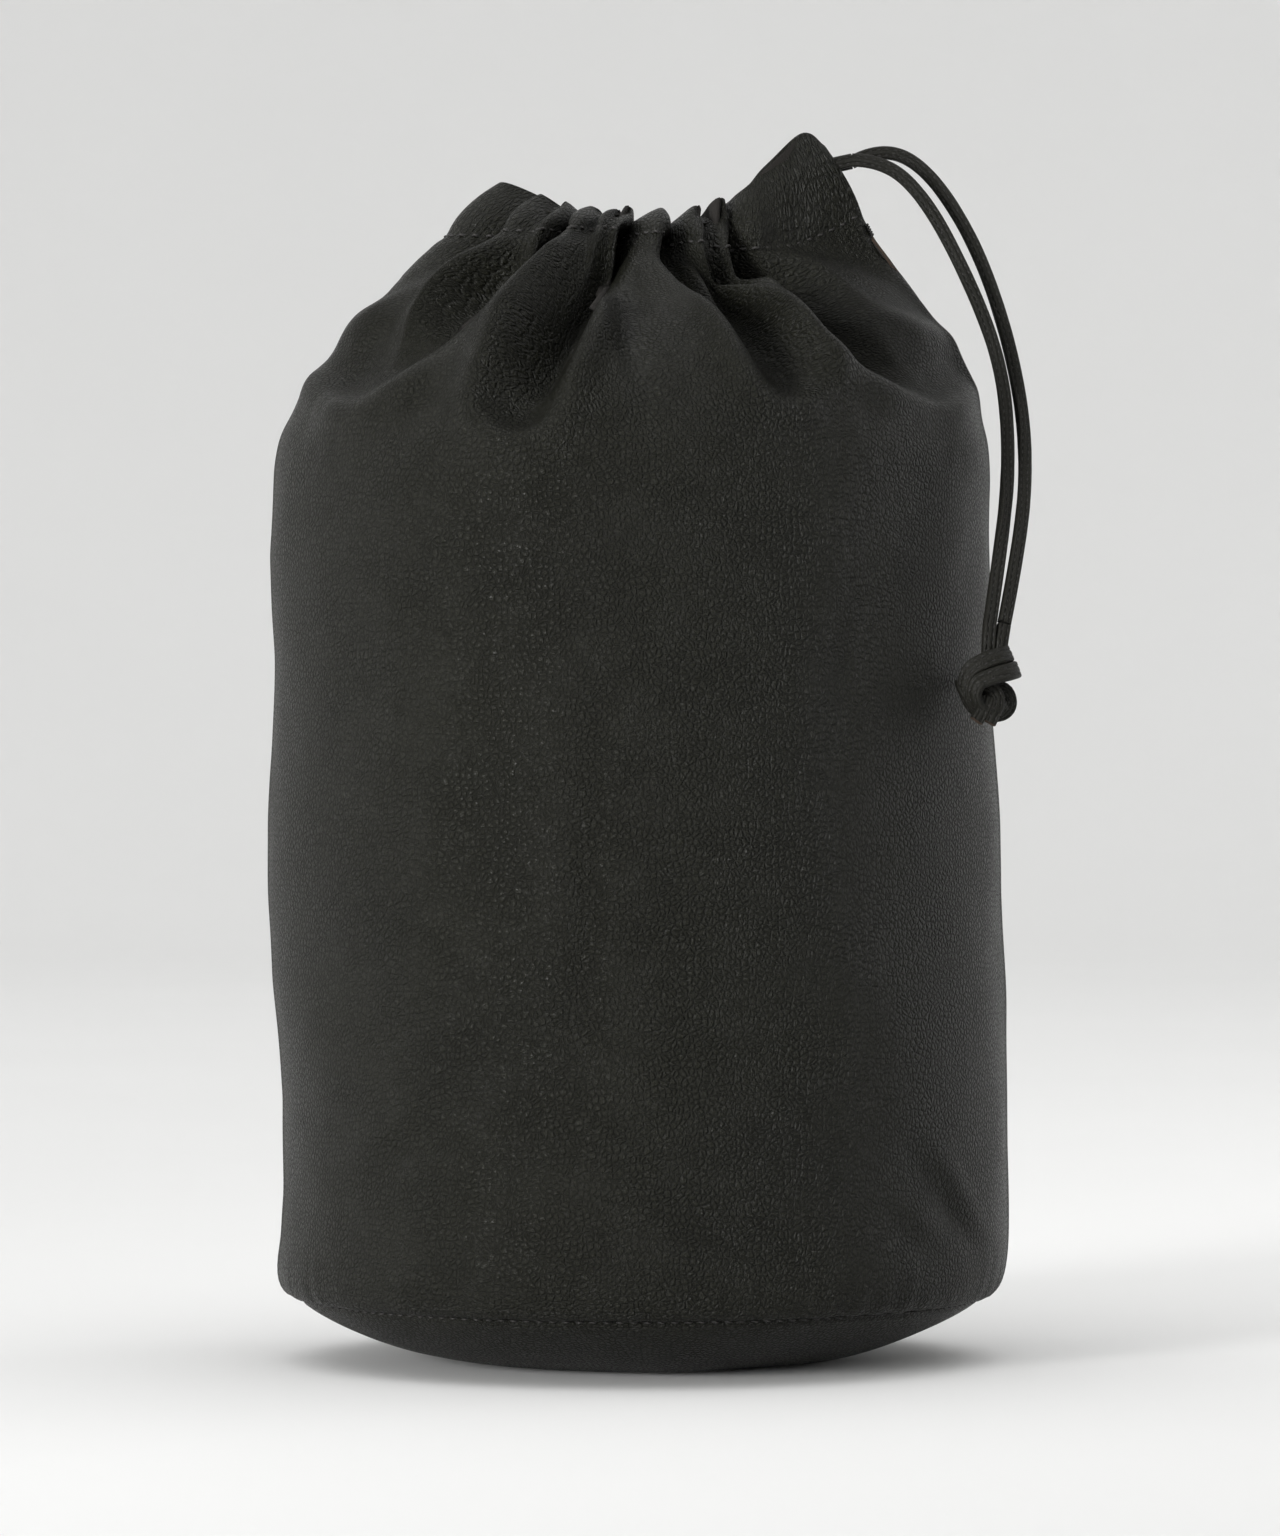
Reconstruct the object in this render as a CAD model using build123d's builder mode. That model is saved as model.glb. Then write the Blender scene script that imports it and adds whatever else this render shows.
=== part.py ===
from build123d import *
from math import cos, radians, sin, tan
import os

os.makedirs("parts", exist_ok=True)

# Drawstring pouch of soft pebbled leather, standing on its round base.
# Origin: centre of the base, on the resting plane. +Z is up, the front is at -Y,
# and the side seam with the lace slit is at +X.

# ---------------------------------------------------------------- driving sizes
leather = 1.6               # thickness of the body leather
skived = 1.1                # leather pared thin where it is turned in
allowance_edge = (72.0, 69.0)  # inner edge of the side seam allowances, at foot and top
side_gap = 0.15             # half of the gap between the front and back leather

rest_radius = 32.0          # flat middle of the base that the pouch stands on
base_seam_radius = 71.2     # turned edge of the base, seen from inside the seam
base_seam_height = 13.0     # the seam between base and wall, above the resting plane
allowance_top = 20.0        # top of the base's upturned edge inside the wall
seam_lip_radius = 71.6      # where the wall's rolled foot meets the base
seam_lip_height = 13.5

wall_foot = (77.0, 18.5)    # radius and height of the wall just above its rolled foot
wall_low = (77.3, 80.0)
wall_middle = (76.2, 145.0)
wall_high = (74.9, 190.0)
wall_top = (73.0, 207.0)    # where the shoulder starts

# Outlines of the shoulder at a few heights: height, left, right, half depth, middle.
shoulder_levels = (
    (207.0, -73.0, 73.0, 73.0, 0.0),
    (222.0, -62.0, 69.0, 57.0, 1.0),
    (236.0, -45.5, 57.0, 35.0, 2.0),
    (250.0, -31.0, 27.0, 21.0, -1.0),
)
slope_thickness = 2.2       # the leather's thickness measured level on the slope
tunnel_width = 4.9          # level width of the casing tunnel that holds the lace
facing_width = 1.9          # level width of the facing that closes the tunnel inside
slit_side_stretch = 1.8     # level distances grow on the shallow slope below the slit
facing_bottom = 236.0       # the casing's stitch line

lace_width = 3.0
lace_side = 2.9             # each lace end lies this far from the middle of the ear
lace_exit = (45.5, 257.0)   # where both lace ends leave the slit, X and Z
lead_length = 21.0          # straight lace inside the ear behind the exit
lead_rise = 12.0            # degrees that the ear's tunnel climbs towards the slit
lead_setback = 1.6          # the lead stops short of the bend at the exit
ear_inner = (side_gap, side_gap + skived)
ear_outer = (4.7, 4.7 + skived)
ear_edge = ((35.0, 263.0), (39.3, 260.0), (48.2, 246.7))
ear_panel_foot = ((53.0, 239.5), (44.0, 240.5), (32.0, 246.5), (22.0, 248.8), (19.5, 248.6))
ear_facing_foot = (
    (40.0, 248.8),
    (30.0, 250.4),
    (15.0, 250.4),
    (14.5, 247.5),
    (12.0, 247.5),
    (12.0, 252.0),
    (23.2, 252.0),
)

knot_pivot = (74.6, -37.6, 153.6)
knot_neck_radius = 2.8
knot_radius = 5.7
knot_height = 12.5
knot_drop = 1.2             # the knot's body starts this far below the pivot
knot_rounding = 2.6
tip_length = 5.5
tip_radius = 1.3

loop_height = 245.0         # the lace's run round the casing tunnel
loop_middle = (0.45, 0.0)
loop_radii = (31.0, 19.35)
loop_opening = 50.0         # degrees left open at the ear

stitch_length = 2.6
stitch_pitch = 3.6
thread_radius = 0.3
thread_standoff = 0.65      # level distance of a stitch's middle from the sloping leather
seam_thread_radius = 72.6   # distance of the side seam's stitches from the axis
base_stitches = 110
casing_stitches = 30
tack_rows = 4
tack_x = 49.8
tack_height = 246.0
tack_length = 2 * (side_gap + skived) + 1.0

# Routes of the two hanging lace ends, from the slit down to the knot.
strand_back_route = (
    (45.5, 2.9, 257.0),
    (52.0, 2.7, 260.6),
    (62.4, 1.8, 255.2),
    (73.0, -1.0, 237.5),
    (80.0, -7.0, 214.0),
    (82.2, -15.5, 194.0),
    (80.4, -26.5, 175.5),
    (76.2, -37.0, 157.0),
)
strand_front_route = (
    (45.5, -2.9, 257.0),
    (52.6, -3.4, 258.2),
    (62.0, -4.6, 250.0),
    (70.6, -7.4, 233.0),
    (77.0, -11.5, 213.0),
    (78.4, -18.0, 194.0),
    (76.4, -28.0, 175.5),
    (73.1, -38.2, 157.0),
)


# ---------------------------------------------------------------- shared shapes
def level_outline(level, inset):
    """Closed outline of the shoulder at one height, moved in by a level distance."""
    height, left, right, depth, middle = level
    left_reach = middle - left - inset
    right_reach = right - middle - inset * slit_side_stretch
    with BuildSketch(Plane.XY.offset(height)) as outline:
        with BuildLine():
            EllipticalCenterArc((middle, 0), left_reach, depth - inset, start_angle=90, arc_size=180)
            EllipticalCenterArc((middle, 0), right_reach, depth - inset, start_angle=270, arc_size=180)
        make_face()
    return outline.sketch


def wall_curve(inset):
    """The wall's profile from the foot up to the shoulder, moved in by a distance."""
    points = (wall_foot, wall_low, wall_middle, wall_high, wall_top)
    return [(radius - inset, height) for radius, height in points]


def route_radii(route):
    """Fillet radius at each corner of a route, from its shorter run and its turn."""
    radii = []
    for before, corner, after in zip(route, route[1:], route[2:]):
        first = Vector(*corner) - Vector(*before)
        second = Vector(*after) - Vector(*corner)
        half_turn = radians(first.get_angle(second)) / 2
        radii.append(0.45 * min(first.length, second.length) / tan(half_turn))
    return radii


def ear_outline(foot):
    """Side view of one layer of the flat ear that the casing makes next to the slit."""
    with BuildSketch(Plane.XZ) as outline:
        with BuildLine():
            Polyline(*ear_edge, *foot, close=True)
        make_face()
    return outline.sketch


def half_of(side):
    """Cuts away everything that isn't on one side of the side seams."""
    if side < 0:
        split(bisect_by=Plane.XZ.offset(side_gap), keep=Keep.TOP)
    else:
        split(bisect_by=Plane.XZ.offset(-side_gap), keep=Keep.BOTTOM)


def ear_layer(side, layer, foot):
    """One flat leather layer of the ear, on one side of the slit."""
    inner, outer = layer
    face = ear_outline(foot).moved(Location((0, side * inner, 0)))
    extrude(face, amount=outer - inner, dir=(0, side, 0))


def body_panel(side):
    """Wall with its rolled foot, shoulder, ear layer and side allowances of one leather half."""
    loft(sections=[level_outline(level, 0) for level in shoulder_levels])
    loft(sections=[level_outline(level, slope_thickness) for level in shoulder_levels], mode=Mode.SUBTRACT)
    with BuildSketch(Plane.XZ) as wall_profile:
        with BuildLine():
            outside = Spline(*wall_curve(0), tangents=((0, 1), (-0.35, 1)))
            inside = Spline(*wall_curve(leather), tangents=((0, 1), (-0.35, 1)))
            Line(outside @ 1, inside @ 1)
            foot = TangentArc(outside @ 0, (seam_lip_radius, seam_lip_height), tangent=(0, -1))
            lip = Line(foot @ 1, (seam_lip_radius, seam_lip_height + leather))
            Line(lip @ 1, inside @ 0)
        make_face()
    revolve(wall_profile.sketch, axis=Axis.Z)
    half_of(side)
    with BuildSketch(Plane.XZ.offset(-side * side_gap)) as allowance_profile:
        with BuildLine():
            edge = Spline(*wall_curve(leather / 2), tangents=((0, 1), (-0.35, 1)))
            Polyline(edge @ 1, (allowance_edge[1], wall_top[1]), (allowance_edge[0], allowance_top + 3), edge @ 0)
        make_face()
        mirror(about=Plane.YZ)
    extrude(allowance_profile.sketch, amount=skived, dir=(0, side, 0))
    ear_layer(side, ear_outer, ear_panel_foot)


def facing(side):
    """Turned-in strip of leather that closes the casing tunnel on the inside."""
    outer_inset = slope_thickness + tunnel_width
    inner_inset = outer_inset + facing_width
    loft(sections=[level_outline(level, outer_inset) for level in shoulder_levels])
    loft(sections=[level_outline(level, inner_inset) for level in shoulder_levels], mode=Mode.SUBTRACT)
    split(bisect_by=Plane.XY.offset(facing_bottom), keep=Keep.TOP)
    half_of(side)
    ear_layer(side, ear_inner, ear_facing_foot)


def lace_tube(route):
    """Round tube of the lace's width along straight runs joined by tangent arcs."""
    radii = route_radii(route)
    with BuildLine() as path:
        FilletPolyline(*route, radius=radii)
    wire = path.wires()[0]
    with BuildSketch(Plane(origin=wire @ 0, z_dir=wire % 0)) as section:
        Circle(lace_width / 2)
    sweep(sections=section.sketch, path=wire)
    print("corner radii", [round(radius, 1) for radius in radii], "length", round(wire.length, 1))


def stitch(point, direction):
    """One straight stitch: a short round bar centred on a point."""
    middle = Vector(*point)
    start = middle - Vector(*direction).normalized() * (stitch_length / 2)
    with BuildSketch(Plane(origin=start, z_dir=direction)) as section:
        Circle(thread_radius)
    extrude(section.sketch, amount=stitch_length)


# ---------------------------------------------------------------- leather
# The front and back halves meet at the two side seams.
with BuildPart() as front_panel:
    body_panel(-1)
front_panel.part.label = "front_panel"
export_step(front_panel.part, "parts/front_panel.step")

with BuildPart() as back_panel:
    body_panel(1)
back_panel.part.label = "back_panel"
export_step(back_panel.part, "parts/back_panel.step")

# The base is a dished disc. Its edge is turned up inside the wall's seam allowance.
with BuildPart() as base_panel:
    with BuildSketch(Plane.XZ):
        with BuildLine():
            flat = Line((0, 0), (rest_radius, 0))
            dish = TangentArc(flat @ 1, (base_seam_radius, base_seam_height - 0.6), tangent=(1, 0))
            rise = Line(dish @ 1, (base_seam_radius, allowance_top))
            rim = Line(rise @ 1, (base_seam_radius - skived, allowance_top))
            fall = Line(rim @ 1, (base_seam_radius - skived, base_seam_height + 0.8))
            floor = Line((0, leather), (rest_radius, leather))
            TangentArc(floor @ 1, fall @ 1, tangent=(1, 0))
            Line(floor @ 0, flat @ 0)
        make_face()
    revolve(axis=Axis.Z)
base_panel.part.label = "base_panel"
export_step(base_panel.part, "parts/base_panel.step")

with BuildPart() as front_facing:
    facing(-1)
front_facing.part.label = "front_facing"
export_step(front_facing.part, "parts/front_facing.step")

with BuildPart() as back_facing:
    facing(1)
back_facing.part.label = "back_facing"
export_step(back_facing.part, "parts/back_facing.step")

# ---------------------------------------------------------------- lace
# One lace runs round the casing tunnel. Both of its ends leave through the slit.
with BuildPart() as lace_loop:
    with BuildLine(Plane.XY.offset(loop_height)) as loop_path:
        EllipticalCenterArc(
            loop_middle, *loop_radii, start_angle=loop_opening / 2, arc_size=360 - loop_opening
        )
    loop_wire = loop_path.wires()[0]
    with BuildSketch(Plane(origin=loop_wire @ 0, z_dir=loop_wire % 0)) as loop_section:
        Circle(lace_width / 2)
    sweep(sections=loop_section.sketch, path=loop_wire)
lace_loop.part.label = "lace_loop"
export_step(lace_loop.part, "parts/lace_loop.step")

# Straight runs inside the ear. They slide out of the slit when the lace is pulled.
lead_direction = Vector(cos(radians(lead_rise)), 0, sin(radians(lead_rise)))
for name, side in (("lace_lead_front", -1), ("lace_lead_back", 1)):
    exit_point = Vector(lace_exit[0], side * lace_side, lace_exit[1])
    with BuildPart() as lead:
        with BuildSketch(Plane(origin=exit_point - lead_direction * lead_setback, z_dir=-lead_direction)):
            Circle(lace_width / 2)
        extrude(amount=lead_length)
    lead.part.label = name
    export_step(lead.part, f"parts/{name}.step")

# Hanging ends. Each starts with a ball centred on the exit, which the ends swing about.
for name, route in (
    ("lace_strand_front", strand_front_route),
    ("lace_strand_back", strand_back_route),
):
    with BuildPart() as strand:
        lace_tube(route)
        with Locations(route[0]):
            Sphere(lace_width / 2)
    strand.part.label = name
    export_step(strand.part, f"parts/{name}.step")

# Overhand knot of both strands, with a ball neck that it swings about.
pivot = Vector(*knot_pivot)
knot_top = pivot - Vector(0, 0, knot_drop)
with BuildPart() as lace_knot:
    with Locations(pivot):
        Sphere(knot_neck_radius)
    with BuildSketch(Plane(origin=knot_top, z_dir=(0, 0, -1))):
        Circle(knot_radius)
    extrude(amount=knot_height)
    fillet(lace_knot.edges().filter_by(GeomType.CIRCLE).group_by(SortBy.RADIUS)[-1], radius=knot_rounding)
lace_knot.part.label = "lace_knot"
export_step(lace_knot.part, "parts/lace_knot.step")

# The cut ends of the lace stick out under the knot.
knot_bottom = knot_top - Vector(0, 0, knot_height)
for name, offset in (("lace_tip_front", (-2.2, -1.0)), ("lace_tip_back", (1.6, 0.9))):
    tip_start = knot_bottom + Vector(*offset, 0)
    with BuildPart() as tip:
        with BuildSketch(Plane(origin=tip_start, z_dir=(0, 0, -1))):
            Circle(tip_radius)
        extrude(amount=tip_length)
    tip.part.label = name
    export_step(tip.part, f"parts/{name}.step")

# ---------------------------------------------------------------- thread
# Side seams: stitches through the allowances, just inside the wall.
seam_stitches = int((wall_high[1] - allowance_top - 10) / stitch_pitch)
for name, side in (("right_seam_thread", 1), ("left_seam_thread", -1)):
    with BuildPart() as thread:
        for index in range(seam_stitches):
            height = allowance_top + 5 + index * stitch_pitch
            stitch((side * seam_thread_radius, -side_gap - skived - thread_radius, height), (0, 0, 1))
    thread.part.label = name
    export_step(thread.part, f"parts/{name}.step")

# Base seam: stitches round the inside of the upturned allowances.
with BuildPart() as base_seam_thread:
    ring = base_seam_radius - skived - thread_radius - 0.1
    for index in range(base_stitches):
        angle = radians(360 * index / base_stitches)
        stitch((ring * cos(angle), ring * sin(angle), allowance_top - 2.5), (-sin(angle), cos(angle), 0))
base_seam_thread.part.label = "base_seam_thread"
export_step(base_seam_thread.part, "parts/base_seam_thread.step")

# Casing: a row of stitches round the foot of the casing on each half.
stitch_level = shoulder_levels[2]
for name, side in (("front_casing_thread", -1), ("back_casing_thread", 1)):
    with BuildPart() as thread:
        for index in range(casing_stitches):
            angle = radians(8 + 164 * index / (casing_stitches - 1))
            height, left, right, depth, middle = stitch_level
            reach = (right - middle) if cos(angle) > 0 else (middle - left)
            point = (
                middle + (reach + thread_standoff) * cos(angle),
                side * (depth + thread_standoff) * sin(angle),
                height,
            )
            stitch(point, (-reach * sin(angle), side * depth * cos(angle), 0))
    thread.part.label = name
    export_step(thread.part, f"parts/{name}.step")

# A short bar tack across the foot of the slit.
with BuildPart() as slit_tack_thread:
    for row in range(tack_rows):
        height = tack_height - row * thread_radius * 2.4
        with BuildSketch(Plane.XZ.offset(-tack_length / 2)):
            with Locations((tack_x + row * 0.45, height)):
                Circle(thread_radius)
    extrude(amount=tack_length)
slit_tack_thread.part.label = "slit_tack_thread"
export_step(slit_tack_thread.part, "parts/slit_tack_thread.step")
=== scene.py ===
import math

import bpy
import numpy as np
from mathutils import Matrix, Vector, noise


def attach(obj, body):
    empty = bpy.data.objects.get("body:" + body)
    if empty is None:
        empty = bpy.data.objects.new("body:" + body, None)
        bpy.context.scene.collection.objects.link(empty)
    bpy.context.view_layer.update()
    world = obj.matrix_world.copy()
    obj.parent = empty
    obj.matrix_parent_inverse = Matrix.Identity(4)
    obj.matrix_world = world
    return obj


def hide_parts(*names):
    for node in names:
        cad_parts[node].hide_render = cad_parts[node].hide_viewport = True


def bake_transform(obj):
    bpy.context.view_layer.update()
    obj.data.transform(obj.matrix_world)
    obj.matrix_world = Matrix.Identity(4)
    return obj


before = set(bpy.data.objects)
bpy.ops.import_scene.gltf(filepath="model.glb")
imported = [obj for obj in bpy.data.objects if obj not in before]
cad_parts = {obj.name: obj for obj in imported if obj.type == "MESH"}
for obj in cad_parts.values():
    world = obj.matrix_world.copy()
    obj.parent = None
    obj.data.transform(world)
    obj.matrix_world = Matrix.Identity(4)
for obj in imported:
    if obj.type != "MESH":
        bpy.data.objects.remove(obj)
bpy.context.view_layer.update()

# Leather drawstring pouch. Lengths in this script are in millimetres and are turned
# into metres where a mesh is made. +Z is up, the front is at -Y, the slit is at +X.
MM = 0.001
UP = np.array([0.0, 0.0, 1.0])
LEVEL = np.array([1.0, 1.0, 0.0])


def linked(name, data):
    """A new object in the scene."""
    made = bpy.data.objects.new(name, data)
    bpy.context.collection.objects.link(made)
    return made


# ---------- camera
CAMERA_DISTANCE = 1430.0
CAMERA_HEIGHT = 126.7
VIEW_HEIGHT = 329.9  # height of the picture at the pouch's axis
SENSOR = 36.0
camera_data = bpy.data.cameras.new("camera")
camera = linked("camera", camera_data)
camera_data.sensor_width = SENSOR
camera_data.lens = SENSOR * CAMERA_DISTANCE / VIEW_HEIGHT
camera_data.clip_end = 50.0
camera.location = (0.0, -CAMERA_DISTANCE * MM, CAMERA_HEIGHT * MM)
camera.rotation_euler = (math.pi / 2, 0.0, 0.0)
bpy.context.scene.camera = camera


# ---------- small helpers
def smooth(value, low, high):
    """0 below low, 1 above high, and an S-curve in between."""
    x = np.clip((np.asarray(value, dtype=float) - low) / (high - low), 0.0, 1.0)
    return x * x * (3.0 - 2.0 * x)


def unit(vectors):
    """Vectors scaled to length 1, along the last axis."""
    return vectors / np.maximum(np.linalg.norm(vectors, axis=-1, keepdims=True), 1e-9)


def between(before, start, end, after, x):
    """The point at x, from 0 to 1, on a smooth curve from start to end."""
    return 0.5 * (
        2 * start
        + (end - before) * x
        + (2 * before - 5 * start + 4 * end - after) * x**2
        + (3 * start - before - 3 * end + after) * x**3
    )


def curve_through(points, count):
    """Evenly spaced points on a smooth curve through given points."""
    points = np.array(points, dtype=float)
    padded = np.vstack([2 * points[0] - points[1], points, 2 * points[-1] - points[-2]])
    steps = np.linspace(0.0, 1.0, 60, endpoint=False)[:, None]
    spans = zip(padded, padded[1:], padded[2:], padded[3:])
    dense = np.vstack([between(*span, steps) for span in spans] + [points[-1:]])
    return spread(dense, np.linspace(0.0, 1.0, count))


def arc_length(points):
    """Length along a polyline at each of its points."""
    steps = np.linalg.norm(np.diff(points, axis=0), axis=1)
    return np.concatenate([[0.0], np.cumsum(steps)])


def read_at(at, along, values):
    """Vectors that belong to the points of a line, read at distances along it."""
    return np.stack([np.interp(at, along, values[:, k]) for k in range(3)], axis=-1)


def spread(points, fractions):
    """Points at given fractions of a polyline's length."""
    along = arc_length(points)
    return read_at(np.asarray(fractions) * along[-1], along, points)


def averaged(points, width, **edge):
    """Points averaged with their neighbours along a line; edge says how its ends are padded."""
    padded = [np.pad(points[:, k], width // 2, **edge) for k in range(3)]
    return np.stack([np.convolve(line, np.ones(width) / width, mode="valid") for line in padded], axis=1)


def new_object(name, vertices, faces, uv):
    """A smooth-shaded mesh object from vertices in millimetres and their UV coordinates."""
    mesh = bpy.data.meshes.new(name)
    mesh.from_pydata((np.asarray(vertices) * MM).tolist(), [], faces)
    layer = mesh.uv_layers.new(name="sheet")
    indices = np.empty(len(mesh.loops), dtype=np.int32)
    mesh.loops.foreach_get("vertex_index", indices)
    layer.data.foreach_set("uv", (np.asarray(uv)[indices] * MM).ravel())
    mesh.polygons.foreach_set("use_smooth", [True] * len(mesh.polygons))
    return linked(name, mesh)


def grid_faces(rows, columns):
    """Quads of a grid whose vertices are numbered row by row."""
    return [
        (r * columns + c, r * columns + c + 1, (r + 1) * columns + c + 1, (r + 1) * columns + c)
        for r in range(rows - 1)
        for c in range(columns - 1)
    ]


def ring_faces(rings, turns, first=0):
    """Quads between closed rings of vertices that are numbered ring by ring."""
    faces = []
    for low in range(first, first + (rings - 1) * turns, turns):
        for k in range(turns):
            after = (k + 1) % turns
            faces.append((low + k, low + after, low + turns + after, low + turns + k))
    return faces


# ---------- the leather sheet
HALF_GIRTH = 244.0  # width of one cut panel between its side seams
LEATHER_THICKNESS = 1.3
WALL_TOP = 188.0  # up to here the wall is a plain cylinder
SHOULDER_LENGTH = 71.0  # leather from there up to the casing's stitch line
STITCH_LINE_LENGTH = 236.0  # the pleated path at the stitch line and at the folded edge,
TOP_EDGE_LENGTH = 205.0  # where the tight gather presses the leather together

# Casing envelope of the front half, from the slit at +X round to the left seam: its stitch
# line, and its folded top edge. The back half mirrors it.
STITCH_LINE = (
    (47.8, -2.4, 245.6), (40.5, -6.0, 241.5), (31.0, -13.0, 237.8), (19.0, -24.0, 237.2),
    (6.0, -32.0, 239.4), (-8.0, -35.0, 240.6), (-22.0, -31.0, 240.4), (-37.0, -20.0, 240.4),
    (-46.5, 0.0, 240.0),
)
TOP_EDGE = (
    (39.8, -3.3, 259.8), (35.2, -4.4, 262.4), (27.4, -9.0, 255.2), (19.5, -14.5, 248.0),
    (8.0, -19.0, 245.8), (-6.0, -21.0, 245.4), (-18.0, -18.0, 247.4), (-27.0, -11.0, 251.2),
    (-34.0, 0.0, 252.4),
)
# Pleats of the front (-1) and the back (1): where their valleys lie along X, and how deep they are.
TOP_PLEATS = {
    -1: (
        (20.5, 15.0, 8.8, 0.0, -3.6, -6.8, -14.0, -17.6, -24.6),
        (8.0, 12.0, 12.0, 11.0, 7.0, 9.0, 8.0, 9.0, 10.0),
    ),
    1: (
        (22.0, 14.0, 8.0, 3.5, -2.0, -9.5, -13.0, -19.0, -26.0),
        (9.0, 11.0, 8.0, 10.0, 12.0, 9.0, 8.0, 11.0, 9.0),
    ),
}
STITCH_PLEATS = {
    -1: (
        (22.0, 16.0, 10.5, -2.5, -6.5, -10.5, -19.0, -24.0, -33.5),
        (11.0, 4.5, 13.0, 15.0, 2.5, 6.0, 10.0, 3.5, 8.0),
    ),
    1: (
        (23.0, 16.0, 8.0, 2.5, -4.0, -13.0, -18.0, -27.0, -36.0),
        (9.0, 4.0, 11.0, 4.0, 14.0, 3.5, 9.0, 12.0, 5.0),
    ),
}
SEAM_VALLEY = 5.0  # depth of the pleat that the left seam sits in
STITCH_DIP = 0.10  # how far a valley drops for each millimetre of its depth
TOP_DIP = 0.34

# Long folds that run down the shoulder: fraction of the half girth at their top and
# bottom, depth, half width, and how far down the shoulder they reach (0 top, 1 bottom).
LONG_FOLDS = {
    -1: (
        (0.545, 0.6, 9.0, 9.0, 0.78),
        (0.415, 0.35, 6.5, 7.0, 0.62),
        (0.25, 0.24, 5.0, 8.0, 0.55),
        (0.76, 0.79, 5.0, 8.0, 0.55),
    ),
    1: ((0.33, 0.3, 7.0, 8.0, 0.62), (0.52, 0.56, 8.0, 9.0, 0.75), (0.74, 0.72, 6.0, 8.0, 0.6)),
}

WALL_PROFILE = (  # height and radius of the filled wall
    (13.5, 78.0), (26.0, 78.4), (80.0, 78.9), (115.0, 78.6), (145.0, 77.2), (165.0, 76.3), (188.0, 75.4),
    (300.0, 75.4),
)


def wall_radius(height):
    """Radius of the wall at a height."""
    heights, radii = zip(*WALL_PROFILE)
    return np.interp(height, heights, radii)


# The sheet's columns, denser at both seams: fractions of the half girth, and millimetres.
NEAR_SEAM = np.array([0.0, 0.5, 1.0, 1.6, 2.4, 3.5, 5.0]) / HALF_GIRTH
FROM_SEAMS = np.linspace(7.0, HALF_GIRTH - 7.0, 116) / HALF_GIRTH
COLUMN_AT = np.concatenate([NEAR_SEAM, FROM_SEAMS, 1.0 - NEAR_SEAM[::-1]])
GIRTH_AT = COLUMN_AT * HALF_GIRTH


def half_ring(side):
    """Directions outwards from the pouch's axis at the columns of one half."""
    angle = COLUMN_AT * math.pi
    return np.stack([np.cos(angle), side * np.sin(angle), np.zeros_like(angle)], axis=1)


def pleated_line(envelope, marks, depths, side, dip, scale):
    """Path of the pleated leather along an envelope, with valleys pressed inwards."""
    count = len(envelope)
    step = np.arange(count)
    tangent = unit(np.gradient(envelope, axis=0) * LEVEL)
    inward = np.stack([-tangent[:, 1], tangent[:, 0], np.zeros(count)], axis=1) * side
    depth = np.zeros(count)
    for k, mark in enumerate(marks):
        before = marks[k - 1] if k else marks[0] - (marks[1] - marks[0])
        after = marks[k + 1] if k + 1 < len(marks) else mark + (mark - marks[k - 1])
        half = np.where(step < mark, (mark - before) / 2, (after - mark) / 2)
        x = np.clip(1.0 - np.abs(step - mark) / half, 0.0, 1.0)
        sharp = 1.0 - np.cos(math.pi * x / 2)
        rounded = 0.5 - 0.5 * np.cos(math.pi * x)
        depth = np.maximum(depth, depths[k] * (0.5 * sharp + 0.5 * rounded))
    path = envelope + inward * depth[:, None] * scale
    path[:, 2] -= dip * depth * scale
    return path


def fitted_line(points, valleys, depths, side, dip, length):
    """A pleated line of a given length, and the fractions of it at which its valleys lie."""
    envelope = curve_through(np.array(points) * np.array([1.0, -side, 1.0]), 1600)
    step = np.arange(len(envelope))
    marks = [int(np.interp(-x, -envelope[:, 0], step)) for x in valleys] + [len(envelope) - 1]
    depths = list(depths) + [SEAM_VALLEY]
    low, high = 0.1, 4.0
    for _ in range(24):
        scale = (low + high) / 2
        path = pleated_line(envelope, marks, depths, side, dip, scale)
        if arc_length(path)[-1] < length:
            low = scale
        else:
            high = scale
    along = arc_length(path)
    return path, np.concatenate([[0.0], along[marks] / along[-1]])


def casing_lines(side):
    """The stitch line and the folded edge of one half, sampled at the sheet's columns."""
    pleats = STITCH_PLEATS[side]
    stitch, stitch_marks = fitted_line(STITCH_LINE, *pleats, side, STITCH_DIP, STITCH_LINE_LENGTH)
    top, top_marks = fitted_line(TOP_EDGE, *TOP_PLEATS[side], side, TOP_DIP, TOP_EDGE_LENGTH)
    marks = (stitch_marks + top_marks) / 2
    return (
        spread(stitch, np.interp(COLUMN_AT, marks, stitch_marks)),
        spread(top, np.interp(COLUMN_AT, marks, top_marks)),
    )


def shoulder_guess(side, stitch, casing_direction, rows):
    """First guess of the free leather between the wall and the casing, before it relaxes."""
    around = half_ring(side)
    foot = around * wall_radius(WALL_TOP) + UP * WALL_TOP
    u = np.linspace(0.0, 1.0, rows)[:, None, None]
    up = UP * 85.0
    arrive = casing_direction * 48.0
    h00 = 2 * u**3 - 3 * u**2 + 1
    h10 = u**3 - 2 * u**2 + u
    h01 = -2 * u**3 + 3 * u**2
    h11 = u**3 - u**2
    surface = h00 * foot + h10 * up + h01 * stitch + h11 * arrive
    down = 1.0 - np.linspace(0.0, 1.0, rows)[:, None]
    inward = -around * 0.75 - UP * 0.45
    for top_at, bottom_at, depth, half_width, reach in LONG_FOLDS[side]:
        centre = top_at + (bottom_at - top_at) * down / reach
        across = (COLUMN_AT[None, :] - centre) * HALF_GIRTH / half_width
        strength = depth * np.exp(-(across**2)) * smooth(down, reach * 1.15, reach * 0.55)
        strength = strength * smooth(down, -0.02, 0.2)
        surface = surface + inward[None, :, :] * strength[:, :, None]
    return surface


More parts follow.
